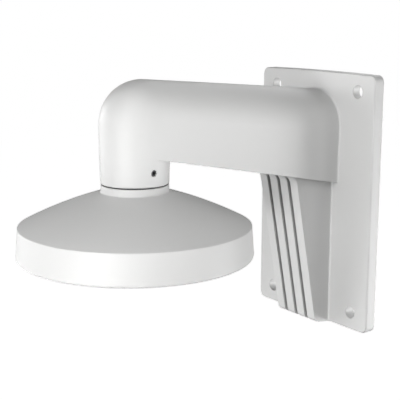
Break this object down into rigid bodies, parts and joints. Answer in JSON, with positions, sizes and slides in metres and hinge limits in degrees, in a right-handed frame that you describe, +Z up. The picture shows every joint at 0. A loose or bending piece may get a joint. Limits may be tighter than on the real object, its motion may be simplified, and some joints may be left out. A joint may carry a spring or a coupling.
{
  "type": "camera wall bracket",
  "caption": "Wall bracket for a dome camera: a wall plate carries a hollow arm on a grooved gusset, and the arm bends down to a round mounting cap.",
  "frame": {"origin": "middle of the wall plate's back face, on the plane that lies on the wall", "axes": "+Y into the wall, the arm reaches out along -Y, +Z up, +X towards the side with the set screw"},
  "size_m": [0.1518, 0.2379, 0.1822],
  "materials": {
    "powder_coat": "fine-textured matt powder coat",
    "seal_rubber": "matt",
    "screw_steel": "satin"
  },
  "bodies": {
    "root": {"wall_casting": "powder_coat", "cap": "powder_coat", "neck_seal": "seal_rubber", "set_screw": "screw_steel"}
  },
  "joints": []
}
